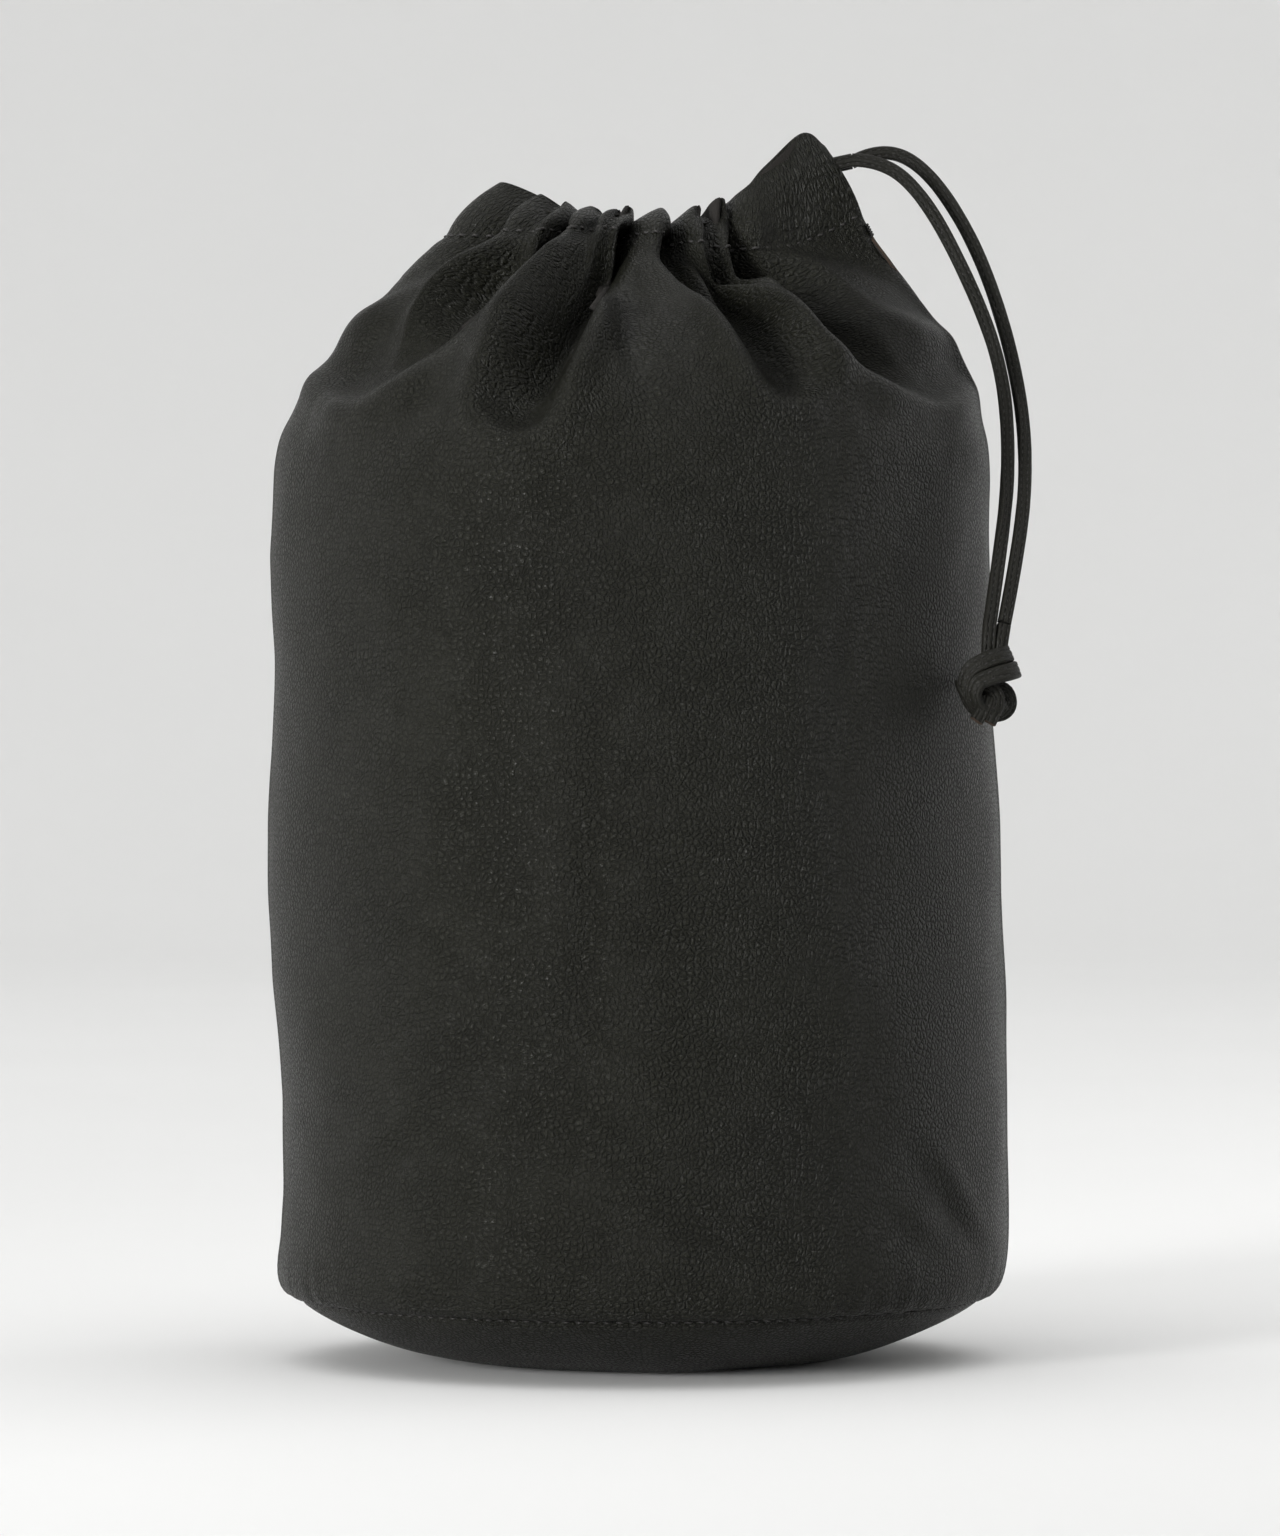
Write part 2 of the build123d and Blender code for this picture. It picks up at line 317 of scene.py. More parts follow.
# Wall foot: radius and height of the rolled edge that turns in to the base seam.
FOOT_PROFILE = (
    (71.6, 15.6), (72.2, 14.4), (73.6, 13.7), (75.4, 14.1), (76.9, 15.8), (77.8, 18.4), (78.3, 22.0),
)
WALL_ROWS = 71
FREE_ROWS = 36
CASING_ROWS = 8
CASING_PUFF = 1.2  # how far the lace inside bulges the casing
ROLL_ROWS = 6
ROLL_RADIUS = 0.6
FACING_ROWS = 7
FACING_DEPTH = 9.0
CLOTH_SCALE = 10.0  # the cloth solver works best on larger pieces
CLOTH_FRAMES = 36
CLOTH_COLUMNS = 66
CLOTH_ROWS = 19
CLOTH_HELD_ROWS = 3
CLOTH_SETTINGS = {
    "quality": 8,
    "mass": 0.4,
    "tension_stiffness": 60.0,
    "compression_stiffness": 60.0,
    "shear_stiffness": 25.0,
    "bending_stiffness": 60.0,
    "tension_damping": 15.0,
    "compression_damping": 15.0,
    "shear_damping": 15.0,
    "bending_damping": 2.0,
    "air_damping": 2.0,
    "use_pressure": True,
    "uniform_pressure_force": 25.0,
}


def wall_rows(side):
    """Rows of the rolled foot and the plain wall of one half."""
    profile = list(FOOT_PROFILE)
    profile += [(wall_radius(height), height) for height in np.linspace(26.0, WALL_TOP, WALL_ROWS)[:-1]]
    return np.array([half_ring(side) * radius + UP * height for radius, height in profile])


def resampled(grid, row_at, column_at):
    """A point grid read at fractional rows and columns with smooth cubic interpolation."""
    def along(values, at):
        count = len(values)
        at = np.clip(at, 0.0, count - 1.0)
        base = np.minimum(at.astype(int), count - 2)
        x = (at - base).reshape(-1, *([1] * (values.ndim - 1)))
        padded = np.concatenate([2 * values[:1] - values[1:2], values, 2 * values[-1:] - values[-2:-1]])
        return between(*(padded[base + k] for k in range(4)), x)
    tall = along(grid, row_at)
    wide = along(np.swapaxes(tall, 0, 1), column_at)
    return np.swapaxes(wide, 0, 1)


def relax_shoulder(front, back):
    """Lets the free leather of both halves settle as cloth, held at the wall and at the casing.

    The cloth is coarser than the sheet, so that it folds as thick leather does."""
    coarse_at = np.linspace(0.0, 1.0, CLOTH_COLUMNS)
    columns = np.interp(coarse_at, COLUMN_AT, np.arange(len(COLUMN_AT)))
    rows = np.linspace(0.0, len(front) - 1, CLOTH_ROWS)
    sheets = [resampled(front, rows, columns), resampled(back, rows, columns)]
    heights = WALL_TOP + SHOULDER_LENGTH * np.linspace(0.0, 1.0, CLOTH_ROWS)
    step = heights[1] - heights[0]
    angle = coarse_at * math.pi
    loop = 2 * (CLOTH_COLUMNS - 1)
    flat_radius = HALF_GIRTH / math.pi
    ring = np.concatenate([-angle, -math.pi - angle[1:-1]])
    turn = np.stack([np.cos(ring), np.sin(ring), np.zeros(loop)], axis=1)
    held_at = [WALL_TOP - below * step for below in range(CLOTH_HELD_ROWS, 0, -1)]
    start = [turn * wall_radius(height) + UP * height for height in held_at]
    flat = np.array([turn * flat_radius + UP * height for height in (*held_at, *heights)])
    for row in range(CLOTH_ROWS):
        around = np.vstack([sheets[0][row], sheets[1][row, -2:0:-1]])
        around[(0, CLOTH_COLUMNS - 1), 1] = 0.0
        start.append(around)
    start = np.array(start)
    total = len(start)
    faces = [(b, a, d, c) for a, b, c, d in ring_faces(total, loop)]
    scale = CLOTH_SCALE * MM
    mesh = bpy.data.meshes.new("shoulder_cloth")
    mesh.from_pydata((flat.reshape(-1, 3) * scale).tolist(), [], faces)
    cloth_object = linked("shoulder_cloth", mesh)
    flat_key = cloth_object.shape_key_add(name="flat")
    start_key = cloth_object.shape_key_add(name="start")
    start_key.data.foreach_set("co", (start * scale).ravel())
    start_key.value = 1.0
    pins = cloth_object.vertex_groups.new(name="pins")
    held = list(range((CLOTH_HELD_ROWS + 1) * loop)) + list(range((total - 1) * loop, total * loop))
    pins.add(held, 1.0, "REPLACE")
    cloth = cloth_object.modifiers.new("cloth", "CLOTH")
    for key, value in CLOTH_SETTINGS.items():
        setattr(cloth.settings, key, value)
    cloth.settings.vertex_group_mass = "pins"
    cloth.settings.rest_shape_key = flat_key
    cloth.settings.effector_weights.gravity = 0.0
    cloth.collision_settings.use_self_collision = False
    cloth.point_cache.frame_start = 1
    cloth.point_cache.frame_end = CLOTH_FRAMES
    scene = bpy.context.scene
    for number in range(1, CLOTH_FRAMES + 1):
        scene.frame_set(number)
    graph = bpy.context.evaluated_depsgraph_get()
    settled = np.empty(total * loop * 3)
    cloth_object.evaluated_get(graph).data.vertices.foreach_get("co", settled)
    settled = settled.reshape(total, loop, 3)[CLOTH_HELD_ROWS:] / scale
    scene.frame_set(1)
    bpy.data.objects.remove(cloth_object)
    bpy.data.meshes.remove(mesh)
    results = []
    back_order = [0] + list(range(loop - 1, CLOTH_COLUMNS - 2, -1))
    fine_rows = np.linspace(0.0, CLOTH_ROWS - 1, len(front))
    fine_columns = COLUMN_AT * (CLOTH_COLUMNS - 1)
    for order, guess in ((list(range(CLOTH_COLUMNS)), front), (back_order, back)):
        sheet = resampled(settled[:, order], fine_rows, fine_columns)
        mend = (guess[-1] - sheet[-1])[None, :, :]
        fade = smooth(np.linspace(1.0, 0.0, len(front)), 0.16, 0.0)[:, None, None]
        results.append(sheet + mend * fade)
    return results


def casing_rows(side, stitch, top):
    """Rows of the puffed casing, its rolled edge and the facing inside, from the stitch line on."""
    line = top - stitch
    along = unit(line)
    run = unit(np.gradient(averaged(stitch, 5, mode="reflect", reflect_type="odd"), axis=0))
    inward = unit(np.cross(run, along) * (-side))
    rows = []
    for u in np.linspace(0.0, 1.0, CASING_ROWS):
        puff = CASING_PUFF * math.sin(math.pi * min(1.0, u * 1.02)) ** 0.8 if 0 < u < 1 else 0.0
        rows.append(stitch + line * u - inward * puff)
    for phi in np.linspace(0.0, math.pi, ROLL_ROWS + 1)[1:]:
        rows.append(top + ROLL_RADIUS * (math.sin(phi) * along + (1 - math.cos(phi)) * inward))
    for depth in np.linspace(0.0, FACING_DEPTH, FACING_ROWS)[1:]:
        rows.append(top + 2 * ROLL_RADIUS * inward - along * depth)
    return np.array(rows)


def leather_halves():
    """Front and back sheets: point grids from the base seam to the facing's edge."""
    halves = {}
    for side in (-1, 1):
        stitch, top = casing_lines(side)
        casing = casing_rows(side, stitch, top)
        guess = shoulder_guess(side, stitch, unit(casing[1] - casing[0]), FREE_ROWS)
        halves[side] = [wall_rows(side), guess, casing]
    halves[-1][1], halves[1][1] = relax_shoulder(halves[-1][1], halves[1][1])
    return {side: np.vstack([parts[0], parts[1][:-1], parts[2]]) for side, parts in halves.items()}


def sheet_uv(side, grid):
    """UV in millimetres: round the pouch, and up the sheet along its middle column."""
    steps = arc_length(grid[:, grid.shape[1] // 2])
    return np.stack(np.broadcast_arrays(GIRTH_AT[None, :] * side, steps[:, None]), axis=-1).reshape(-1, 2)


# Dents and wrinkles of the filled wall: side, X and height of the middle, slope in
# degrees from the horizontal, half length, half width and depth.
WALL_DENTS = (
    (-1, -9.8, 100.0, 88.0, 34.0, 3.4, 0.9), (-1, -3.0, 88.0, 4.0, 26.0, 4.2, 0.55),
    (-1, 9.0, 68.0, -5.0, 22.0, 4.0, 0.5), (-1, -34.0, 118.0, 80.0, 26.0, 5.0, 0.6),
    (-1, 62.0, 40.0, -38.0, 11.0, 2.6, 1.1), (-1, 67.0, 32.0, -34.0, 10.0, 2.4, 1.0),
    (-1, 57.0, 29.0, -30.0, 9.0, 2.4, 0.8), (-1, -52.0, 46.0, 25.0, 14.0, 3.4, 0.6),
    (-1, 44.0, 150.0, 76.0, 22.0, 5.0, 0.6), (1, 10.0, 120.0, 86.0, 30.0, 4.5, 0.9),
    (1, -30.0, 70.0, 12.0, 24.0, 4.2, 0.6), (1, 48.0, 50.0, 35.0, 13.0, 3.0, 0.9),
    (1, -58.0, 34.0, -30.0, 11.0, 3.0, 0.9),
)
# Folds that the gather throws down the shoulder: side, their line in X and height from
# the casing down, depth, and half width at the top and at the bottom.
SHOULDER_FOLDS = (
    (-1, ((-5.5, 238.5), (-12.5, 226.0), (-19.5, 213.0), (-24.5, 202.5)), 8.6, 3.3, 5.6),
    (-1, ((12.5, 238.5), (18.0, 229.0), (25.0, 217.5), (31.0, 209.0)), 7.0, 3.0, 4.8),
    (-1, ((22.0, 239.0), (33.0, 226.5), (46.0, 215.5), (62.0, 209.5)), 5.2, 3.0, 4.8),
    (-1, ((-24.0, 236.0), (-35.0, 225.0), (-46.0, 217.0), (-60.0, 210.0)), 5.6, 3.0, 5.2),
    (1, ((8.0, 238.0), (16.0, 224.0), (22.0, 210.0)), 5.5, 3.4, 6.0),
    (1, ((-10.0, 238.0), (-15.0, 226.0), (-24.0, 212.0)), 5.0, 3.2, 5.4),
    (1, ((-27.0, 236.0), (-38.0, 224.0), (-54.0, 211.0)), 4.4, 3.2, 5.2),
    (1, ((24.0, 238.0), (38.0, 224.0), (56.0, 210.0)), 4.4, 3.2, 5.0),
)
# How far the filled pouch leans out (+) or in at its left and right contours, by height.
LEFT_LEAN = (
    (15.0, 0.0), (19.0, -0.4), (26.0, -1.9), (36.0, -2.6), (56.0, -2.5), (69.0, -1.4), (82.0, -0.3),
    (100.0, 0.3), (130.0, 0.6), (150.0, 1.2), (160.0, 2.2), (172.0, 3.2), (190.0, 3.0), (198.0, 2.4),
    (205.0, 0.9), (212.0, -0.7), (226.0, -1.5), (236.0, -0.3), (240.0, 0.0),
)
RIGHT_LEAN = (
    (16.0, 0.0), (26.0, 0.3), (50.0, 0.2), (76.0, -0.4), (100.0, -1.8), (143.0, -2.2), (176.0, -1.6),
    (198.0, -0.6), (215.0, 0.0), (240.0, 0.0),
)
WEAR = 0.75  # height of the wall's broad unevenness
PUCKER = 0.28  # height of the puckers that the base seam pulls in
CRUMPLE = 0.8  # height of the casing's crumples
SEAM_DEPTH = 0.95
SEAM_LIP = 0.5


def outward_of(grid, side):
    """Outward direction of the sheet at each point of its grid."""
    return unit(np.cross(np.gradient(grid, axis=1), np.gradient(grid, axis=0)) * side)


def worn(grid, side, stitch_row):
    """The sheet with its dents, unevenness, seam grooves and puckers."""
    girth = GIRTH_AT
    outward = outward_of(grid, side)
    height = grid[:, :, 2]
    lift = np.zeros(height.shape)
    wall = smooth(height, 14.0, 30.0) * smooth(height, 225.0, 195.0)
    for dent_side, x, z, slope, half_length, half_width, depth in WALL_DENTS:
        if dent_side != side:
            continue
        at = math.acos(x / float(wall_radius(z))) / math.pi * HALF_GIRTH
        right = at - girth[None, :]
        up = height - z
        turn = math.radians(slope)
        along = (right * math.cos(turn) + up * math.sin(turn)) / half_length
        across = (up * math.cos(turn) - right * math.sin(turn)) / half_width
        groove = np.exp(-(across**2)) - 0.45 * np.exp(-((across - 2.0) ** 2))
        lift -= depth * groove * np.exp(-(along**2)) * wall
    for row in range(stitch_row):
        if height[row, 0] > 235.0:
            break
        for column in range(grid.shape[1]):
            place = Vector(grid[row, column])
            broad = noise.noise(place / 46.0) + 0.45 * noise.noise(place / 19.0)
            lift[row, column] += WEAR * broad * float(smooth(height[row, column], 16.0, 34.0))
            gathers = noise.noise(Vector((side * girth[column] / 3.4, 7.0, 0.0)))
            lift[row, column] += PUCKER * gathers * float(smooth(height[row, column], 26.0, 15.0)) * 2.2
    turn = COLUMN_AT[None, :] * math.pi
    for lean, facing in ((RIGHT_LEAN, np.cos(turn)), (LEFT_LEAN, -np.cos(turn))):
        heights, amounts = zip(*lean)
        share = np.clip(facing, 0.0, 1.0) ** 1.5
        lift += np.interp(height, heights, amounts) * share * smooth(height, 243.0, 232.0)
    for distance in (girth, HALF_GIRTH - girth):
        groove = SEAM_DEPTH * np.exp(-((distance / 0.9) ** 2))
        groove -= SEAM_LIP * np.exp(-(((distance - 2.7) / 1.3) ** 2))
        below = np.zeros(height.shape)
        below[:stitch_row] = 1.0
        lift -= groove[None, :] * below
    for row in range(stitch_row + 1, stitch_row + CASING_ROWS + 2):
        for column in range(4, grid.shape[1]):
            place = Vector(grid[row, column])
            crumple = noise.noise(place / 8.0) + 0.5 * noise.noise(place / 3.6)
            share = float(smooth(girth[column], 4.0, 16.0) * smooth(girth[column], 70.0, 40.0))
            lift[row, column] += CRUMPLE * crumple * share
    lift[stitch_row] -= 0.55
    lift[stitch_row - 1] -= 0.15
    lift[stitch_row + 1] -= 0.2
    result = grid + outward * lift[:, :, None]
    around = result * LEVEL
    push = unit(unit(around) * 0.8 + UP * 0.6)
    sink = np.zeros(height.shape)
    flat_place = result[:, :, (0, 2)]
    for fold_side, line, depth, top_width, bottom_width in SHOULDER_FOLDS:
        if fold_side != side:
            continue
        path = curve_through([(x, 0.0, z) for x, z in line], 60)[:, (0, 2)]
        apart = np.linalg.norm(flat_place[:, :, None, :] - path[None, None, :, :], axis=3)
        nearest = np.argmin(apart, axis=2)
        at = nearest / 59.0
        width = top_width + (bottom_width - top_width) * at
        across = np.min(apart, axis=2) / width
        groove = np.exp(-(across**2)) - 0.55 * np.exp(-(((across - 1.8) / 0.7) ** 2))
        strength = depth * smooth(at, -0.25, 0.35) * (1.0 - 0.35 * smooth(at, 0.75, 1.0))
        sink += groove * strength
    sink[stitch_row - 1 :] = 0.0
    sink *= smooth(np.arange(len(sink)), stitch_row - 1, stitch_row - 9)[:, None]
    return result - push * sink[:, :, None], np.clip(sink, 0.0, 4.0) / 4.0


def joined_seams(sheets, stitch_row):
    """Brings both sheets' edges together along the side seams, up to the slit on the right."""
    for column, last in ((0, stitch_row - 2), (-1, len(sheets[-1]))):
        middle = (sheets[-1][:last, column] + sheets[1][:last, column]) / 2
        middle[:, 1] = 0.0
        for side in (-1, 1):
            moved = middle - sheets[side][:last, column]
            for inwards in range(4):
                k = inwards if column == 0 else -1 - inwards
                sheets[side][:last, k] += moved * (1.0 - inwards / 4.0) ** 2
    return sheets


def thickened(piece, group=""):
    """Gives a leather sheet its thickness, with its flesh side inside and a cut rim."""
    thick = piece.modifiers.new("thickness", "SOLIDIFY")
    thick.thickness = LEATHER_THICKNESS * MM
    thick.vertex_group = group
    thick.offset = -1.0
    thick.material_offset = 1
    thick.material_offset_rim = 2


halves = leather_halves()
STITCH_ROW = len(FOOT_PROFILE) + WALL_ROWS - 1 + FREE_ROWS - 1
leather_pieces = {}
creased = {}
for side in (-1, 1):
    halves[side], creased[side] = worn(halves[side], side, STITCH_ROW)
halves = joined_seams(halves, STITCH_ROW)
for side, name in ((-1, "front_leather"), (1, "back_leather")):
    grid = halves[side]
    rows, columns = grid.shape[:2]
    faces = grid_faces(rows, columns)
    if side < 0:
        faces = [face[::-1] for face in faces]
    sheet_points = sheet_uv(side, grid)
    piece = new_object(name, grid.reshape(-1, 3), faces, sheet_points)
    distance_up = sheet_points[:, 1].reshape(rows, columns)
    from_stitch = np.abs(distance_up - distance_up[STITCH_ROW, 0])
    from_seam = np.minimum(GIRTH_AT, HALF_GIRTH - GIRTH_AT)[None, :]
    from_foot = distance_up - distance_up[4, 0]
    pucker = np.maximum.reduce(
        [
            np.exp(-((from_stitch / 7.0) ** 2)),
            0.7 * np.exp(-((from_seam / 4.0) ** 2)) * np.ones_like(from_stitch),
            0.8 * np.exp(-((from_foot / 6.0) ** 2)),
            0.75 * creased[side],
        ]
    )
    attribute = piece.data.attributes.new("pucker", "FLOAT", "POINT")
    attribute.data.foreach_set("value", pucker.astype(np.float32).ravel())
    finer = piece.modifiers.new("finer", "SUBSURF")
    finer.levels = 1
    finer.render_levels = 1
    finer.boundary_smooth = "PRESERVE_CORNERS"
    # The gathered leather is pressed thin; elsewhere it keeps its full thickness.
    level = np.arange(rows)[:, None]
    pressed = smooth(level, STITCH_ROW - 16, STITCH_ROW - 4) * smooth(GIRTH_AT, 20.0, 30.0)[None, :]
    group = piece.vertex_groups.new(name="thickness")
    for index, share in enumerate((1.0 - 0.75 * pressed).ravel()):
        group.add([index], float(share), "REPLACE")
    thickened(piece, "thickness")
    leather_pieces[side] = piece


# ---------- pieces made of many shapes
class Shapes:
    """Collects shapes in millimetres into one mesh."""

    def __init__(self):
        self.vertices = []
        self.faces = []
        self.uv = []
        self.slots = []

    def add(self, vertices, faces, uv, slot):
        first = len(self.vertices)
        self.vertices.extend(np.asarray(vertices).tolist())
        self.uv.extend(np.asarray(uv).tolist())
        self.faces.extend(tuple(first + k for k in face) for face in faces)
        self.slots.extend([slot] * len(faces))

    def build(self, name):
        piece = new_object(name, self.vertices, self.faces, self.uv)
        piece.data.polygons.foreach_set("material_index", self.slots)
        return piece


# Half of a folded, edge-stitched lace: width and thickness of its outline as fractions.
LACE_WIDTH = 2.9
LACE_THICKNESS = 2.0
LACE_OUTLINE = (
    (0.5, 0.0), (0.49, 0.24), (0.44, 0.4), (0.36, 0.47), (0.27, 0.44), (0.22, 0.33),
    (0.17, 0.42), (0.08, 0.49), (-0.02, 0.5), (-0.12, 0.46), (-0.2, 0.36), (-0.26, 0.45),
    (-0.35, 0.49), (-0.43, 0.42), (-0.48, 0.26), (-0.5, 0.0), (-0.48, -0.26), (-0.42, -0.4),
    (-0.3, -0.46), (-0.1, -0.44), (0.0, -0.36), (0.1, -0.44), (0.3, -0.46), (0.42, -0.4),
    (0.48, -0.25),
)
LACE_STITCH_PITCH = 1.7


def lace_frames(path, facing, twist):
    """Tangent, width axis and thickness axis along a lace whose flat side looks towards facing."""
    tangent = unit(np.gradient(path, axis=0))
    facing = np.broadcast_to(facing, path.shape)
    flat = unit(facing - tangent * np.sum(facing * tangent, axis=1, keepdims=True))
    wide = np.cross(tangent, flat)
    turn = twist[:, None]
    return tangent, wide * np.cos(turn) + flat * np.sin(turn), flat * np.cos(turn) - wide * np.sin(turn)


def stitch_shape(shapes, centre, direction, outward, length, radius, slot, arch=0.35):
    """One stitch: a short thread that rises out of the leather and goes back in."""
    along = np.linspace(-1.0, 1.0, 6)
    side = unit(np.cross(direction, outward))
    vertices = []
    uv = []
    for x in along:
        middle = centre + direction * x * length / 2 + outward * radius * (arch - 1.3 * x * x)
        size = radius * math.sqrt(max(0.05, 1.0 - 0.7 * x * x))
        for k in range(7):
            turn = 2 * math.pi * k / 7
            vertices.append(middle + size * (math.cos(turn) * side + math.sin(turn) * outward))
            uv.append((turn * radius, x * length / 2))
    faces = [face[::-1] for face in ring_faces(6, 7)]
    faces.append(tuple(range(7)))
    faces.append(tuple(range(41, 34, -1)))
    shapes.add(vertices, faces, uv, slot)


def lace_shape(shapes, path, facing, twist, size=1.0, thinness=1.0, stitched=True, end_slots=(2, 2)):
    """A length of lace along a path: leather in slot 0, thread in slot 1, cut ends in slot 2."""
    tangent, wide, flat = lace_frames(path, facing, twist)
    outline = np.array(LACE_OUTLINE) * np.array([LACE_WIDTH, LACE_THICKNESS])
    size = np.broadcast_to(size, len(path))
    thinness = np.broadcast_to(thinness, len(path))
    round_it = len(outline)
    rim = arc_length(outline)
    length = arc_length(path)
    vertices = (
        path[:, None, :]
        + wide[:, None, :] * outline[None, :, 0, None] * size[:, None, None]
        + flat[:, None, :] * outline[None, :, 1, None] * thinness[:, None, None]
    )
    uv = np.stack(np.broadcast_arrays(rim[None, :], length[:, None]), axis=-1)
    shapes.add(vertices.reshape(-1, 3), ring_faces(len(path), round_it), uv.reshape(-1, 2), 0)
    for ring, order, slot in (
        (0, range(round_it - 1, -1, -1), end_slots[0]),
        (len(path) - 1, range(round_it), end_slots[1]),
    ):
        shapes.add(vertices[ring], [tuple(order)], uv[ring], slot)
    if not stitched:
        return
    for at in np.arange(1.2, length[-1] - 0.8, LACE_STITCH_PITCH):
        here, ahead, across, out = (read_at(at, length, values) for values in (path, tangent, wide, flat))
        broad = float(np.interp(at, length, size))
        thin = float(np.interp(at, length, thinness))
        for edge in (0.24, -0.23):
            base = here + across * edge * LACE_WIDTH * broad + out * 0.36 * LACE_THICKNESS * thin
            stitch_shape(shapes, base, ahead, out, 1.05, 0.19, 1)


# ---------- laces
STRAND_BACK_ROUTE = (
    (0.0455, 0.0029, 0.2570),
    (0.0520, 0.0027, 0.2606),
    (0.0624, 0.0018, 0.2552),
    (0.0730, -0.0010, 0.2375),
    (0.0800, -0.0070, 0.2140),
    (0.0822, -0.0155, 0.1940),
    (0.0804, -0.0265, 0.1755),
    (0.0762, -0.0370, 0.1570),
)
STRAND_FRONT_ROUTE = (
    (0.0455, -0.0029, 0.2570),
    (0.0524, -0.0034, 0.2569),
    (0.0612, -0.0046, 0.2486),
    (0.0700, -0.0074, 0.2316),
    (0.0770, -0.0115, 0.2130),
    (0.0784, -0.0180, 0.1940),
    (0.0764, -0.0280, 0.1755),
    (0.0731, -0.0382, 0.1570),
)
STRAND_BACK_LENGTH = 0.1292
STRAND_FRONT_LENGTH = 0.1222
KNOT_FACING = np.array([0.361, -0.933, 0.0])


def spline_points(name, route):
    """Points of the smooth NURBS spline that a route's points control, in millimetres."""
    curve = bpy.data.curves.new(name, "CURVE")
    curve.dimensions = "3D"
    spline = curve.splines.new("NURBS")
    spline.points.add(len(route) - 1)
    for point, place in zip(spline.points, route):
        point.co = (*place, 1.0)
    spline.order_u = 3
    spline.use_endpoint_u = True
    curve.resolution_u = 22
    holder = linked(name, curve)
    bpy.context.view_layer.update()
    graph = bpy.context.evaluated_depsgraph_get()
    mesh = bpy.data.meshes.new_from_object(holder.evaluated_get(graph))
    points = np.array([vertex.co for vertex in mesh.vertices]) / MM
    bpy.data.meshes.remove(mesh)
    bpy.data.objects.remove(holder)
    return points


def wander(length, seed, size):
    """A slow random twist along a lace, in radians, that starts and ends at zero."""
    total = length[-1]
    ends = smooth(length, 0.0, 14.0) * smooth(length, total, total - 14.0)
    values = np.array([noise.noise(Vector((at / 17.0, seed, 0.0))) for at in length])
    return values * size * ends


strands = {}
for name, route, seed in (("lace_back", STRAND_BACK_ROUTE, 3.0), ("lace_front", STRAND_FRONT_ROUTE, 9.0)):
    path = spline_points(name + "_route", route)
    share = (arc_length(path) / arc_length(path)[-1])[:, None]
    facing = unit(np.array([0.0, -1.0, 0.0]) * (1 - share) + KNOT_FACING * share)
    shapes = Shapes()
    lace_shape(shapes, path, facing, wander(arc_length(path), seed, 0.9), end_slots=(0, 0))
    strands[name] = (shapes.build(name), path)

lead_pieces = []
for name, y, node in (("lead_front", -2.9, "lace_lead_front"), ("lead_back", 2.9, "lace_lead_back")):
    rise = math.tan(math.radians(12.0))
    reach = np.linspace(15.5, 0.0, 18)[:, None]
    path = np.array([45.5, y, 257.0]) - reach * np.array([1.0, 0.0, rise])
    shapes = Shapes()
    lace_shape(shapes, path, (0.0, -1.0, 0.0), np.zeros(len(path)))
    lead_pieces.append((shapes.build(name), node))

# The overhand knot that ties both laces, as the photograph shows it: their middle line
# across, up and towards the viewer, half the gap between them, and their breadth.
KNOT_CENTRE = np.array([72.9, -38.9, 144.6])
KNOT_WIDE = np.array([0.933, 0.361, 0.0])
KNOT_LINE = (
    (2.1, 12.4, -0.6, 1.66, 1.0), (1.35, 9.2, 0.2, 1.5, 1.0), (1.1, 5.8, 0.0, 1.3, 1.0),
    (0.6, 1.8, -0.5, 1.1, 1.0), (1.5, -1.4, -0.9, 1.0, 1.0), (3.5, -2.6, -0.5, 1.0, 1.0),
    (3.5, -5.0, 0.4, 1.0, 1.05), (0.9, -6.5, 0.8, 1.05, 1.1), (-2.9, -5.5, 0.9, 1.15, 1.15),
    (-4.9, -2.2, 1.3, 1.5, 1.2), (-4.3, 1.1, 2.3, 1.85, 1.28), (-1.4, 2.8, 3.2, 1.95, 1.3),
    (2.2, 3.8, 3.0, 1.95, 1.3), (4.9, 4.3, 0.8, 1.85, 1.28), (4.2, 4.0, -2.0, 1.7, 1.2),
    (0.2, 2.6, -3.0, 1.5, 1.15), (-3.6, 0.6, -2.2, 1.3, 1.05), (-3.9, -1.6, -0.4, 1.1, 1.0),
    (-1.6, -1.6, 1.1, 1.05, 1.0), (-0.2, -3.2, 2.0, 1.15, 1.0), (-1.4, -6.2, 2.6, 1.25, 1.0),
    (-2.9, -8.8, 2.7, 1.4, 1.0),
)


def knot_laces():
    """Both laces tied together in the overhand knot, with their cut ends below it."""
    middle = np.array([row[:3] for row in KNOT_LINE])
    path = curve_through(middle, 190)
    at = arc_length(path)
    marks = [at[np.argmin(np.linalg.norm(path - point, axis=1))] for point in middle]
    spacing = np.interp(at, marks, [row[3] for row in KNOT_LINE])
    breadth = np.interp(at, marks, [row[4] for row in KNOT_LINE])
    share = at / at[-1]
    away = unit(path * np.array([1.0, 0.55, 1.0]))
    wrapped = smooth(share, 0.24, 0.34) * smooth(share, 0.84, 0.76)
    local = unit(away * wrapped[:, None] + UP * (1.0 - wrapped)[:, None])

    def placed(values):
        return values[:, :1] * KNOT_WIDE + values[:, 1:2] * UP + values[:, 2:] * KNOT_FACING

    line = placed(path) + KNOT_CENTRE
    facing = placed(local)
    _, beside, _ = lace_frames(line, facing, np.zeros(len(line)))
    shapes = Shapes()
    for way, extra in ((1.0, 0), (-1.0, 3)):
        strand = line + beside * (way * spacing)[:, None]
        kept = slice(0, len(strand) - extra)
        waver = 0.12 * np.sin(share * 37.0 + way) * smooth(share, 0.0, 0.1)
        lace_shape(
            shapes,
            strand[kept],
            facing[kept],
            waver[kept],
            size=breadth[kept],
            thinness=1.0 / breadth[kept] ** 0.6,
            end_slots=(0, 2),
        )
    return shapes.build("knot_laces")


